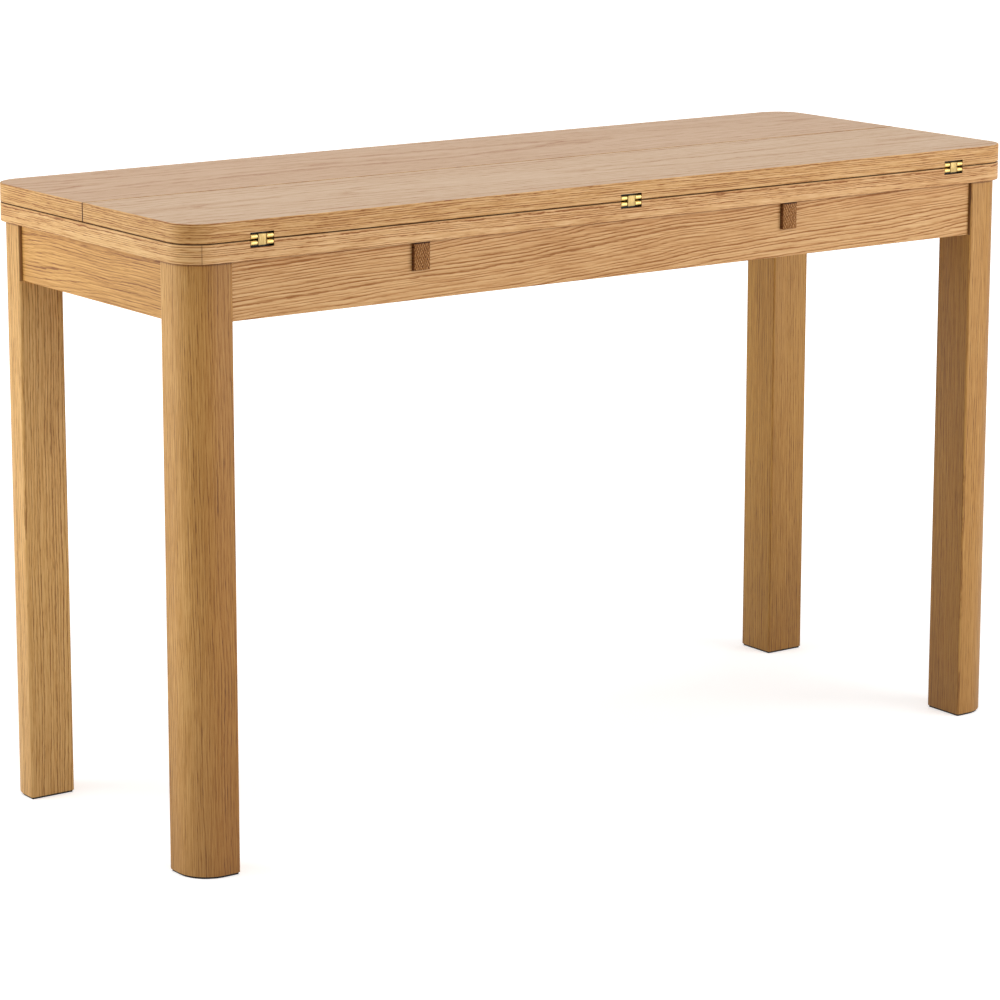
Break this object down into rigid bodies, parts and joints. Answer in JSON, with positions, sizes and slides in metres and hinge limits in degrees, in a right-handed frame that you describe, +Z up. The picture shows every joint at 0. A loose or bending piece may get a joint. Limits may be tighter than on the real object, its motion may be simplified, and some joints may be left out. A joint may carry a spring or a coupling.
{
  "type": "extending dining table",
  "caption": "Oak console table with rounded legs whose top unfolds on brass hinges to twice its depth, over pull-out supports.",
  "frame": {"origin": "on the floor, below the middle of the closed top", "axes": "+X along the length to the right, +Y to the rear, +Z up; the front is at -Y"},
  "size_m": [1.228, 0.4528, 0.75],
  "materials": {
    "oak_top": "oak veneer, matt clear lacquer",
    "oak_edging": "solid oak edge band, matt clear lacquer",
    "oak_leg": "solid oak, matt clear lacquer",
    "oak_apron": "solid oak, matt clear lacquer",
    "support_wood": "dark stained hardwood",
    "inner_wood": "planed beech, untreated",
    "brass": "polished",
    "zinc_steel": "zinc plated",
    "foot_pad": "black plastic",
    "felt": "pressed felt"
  },
  "bodies": {
    "base": {"fixed_board": "oak_top", "fixed_board_edging": "oak_edging", "leg_front_left": "oak_leg", "leg_front_right": "oak_leg", "leg_rear_left": "oak_leg", "leg_rear_right": "oak_leg", "foot_pad_front_left": "foot_pad", "foot_pad_front_right": "foot_pad", "foot_pad_rear_left": "foot_pad", "foot_pad_rear_right": "foot_pad", "apron_front": "oak_apron", "apron_rear": "oak_apron", "apron_left": "oak_apron", "apron_right": "oak_apron", "corner_block_front_left": "inner_wood", "corner_block_front_right": "inner_wood", "corner_block_rear_left": "inner_wood", "corner_block_rear_right": "inner_wood", "guide_rail_left_outer": "inner_wood", "guide_rail_left_middle": "inner_wood", "guide_rail_left_inner": "inner_wood", "guide_rail_right_outer": "inner_wood", "guide_rail_right_middle": "inner_wood", "guide_rail_right_inner": "inner_wood", "keeper_left": "inner_wood", "keeper_right": "inner_wood", "hanger_bolts": "zinc_steel", "bolt_washers": "zinc_steel", "bolt_nuts": "zinc_steel", "keeper_screws": "zinc_steel", "top_brackets": "zinc_steel", "bracket_screws": "zinc_steel", "front_fixed_hinge_plates": "brass", "rear_fixed_hinge_plates": "brass", "fixed_hinge_pins": "brass", "fixed_hinge_screws": "brass"},
    "front_links": {"front_hinge_links": "brass"},
    "front_leaf_body": {"front_leaf": "oak_top", "front_leaf_edging": "oak_edging", "front_leaf_bumpers": "felt", "front_leaf_hinge_plates": "brass", "front_leaf_hinge_pins": "brass", "front_leaf_hinge_screws": "brass"},
    "rear_links": {"rear_hinge_links": "brass"},
    "rear_leaf_body": {"rear_leaf": "oak_top", "rear_leaf_edging": "oak_edging", "rear_leaf_bumpers": "felt", "rear_leaf_hinge_plates": "brass", "rear_leaf_hinge_pins": "brass", "rear_leaf_hinge_screws": "brass"},
    "front_left_support": {"support_front_left": "support_wood", "stop_dowel_front_left": "inner_wood"},
    "front_right_support": {"support_front_right": "support_wood", "stop_dowel_front_right": "inner_wood"},
    "rear_left_support": {"support_rear_left": "support_wood", "stop_dowel_rear_left": "inner_wood"},
    "rear_right_support": {"support_rear_right": "support_wood", "stop_dowel_rear_right": "inner_wood"}
  },
  "joints": [
    {"name": "front_link_swing", "type": "hinge", "parent": "base", "child": "front_links", "pos_m": [0, -0.22359, 0.7239], "axis": [1, 0, 0], "range_deg": [0, 90]},
    {"name": "front_leaf_turn", "type": "hinge", "parent": "front_links", "child": "front_leaf_body", "pos_m": [0, -0.22359, 0.7311], "axis": [1, 0, 0], "range_deg": [0, 90]},
    {"name": "rear_link_swing", "type": "hinge", "parent": "base", "child": "rear_links", "pos_m": [0, 0.22359, 0.7239], "axis": [-1, 0, 0], "range_deg": [0, 90]},
    {"name": "rear_leaf_turn", "type": "hinge", "parent": "rear_links", "child": "rear_leaf_body", "pos_m": [0, 0.22359, 0.7311], "axis": [-1, 0, 0], "range_deg": [0, 90]},
    {"name": "front_left_support_slide", "type": "slide", "parent": "base", "child": "front_left_support", "axis": [0, -1, 0], "range_m": [0, 0.18]},
    {"name": "front_right_support_slide", "type": "slide", "parent": "base", "child": "front_right_support", "axis": [0, -1, 0], "range_m": [0, 0.18]},
    {"name": "rear_left_support_slide", "type": "slide", "parent": "base", "child": "rear_left_support", "axis": [0, 1, 0], "range_m": [0, 0.18]},
    {"name": "rear_right_support_slide", "type": "slide", "parent": "base", "child": "rear_right_support", "axis": [0, 1, 0], "range_m": [0, 0.18]}
  ],
  "couplings": [
    {"joint": "front_link_swing", "follows": "front_leaf_turn", "ratio": 1},
    {"joint": "rear_link_swing", "follows": "rear_leaf_turn", "ratio": 1}
  ]
}
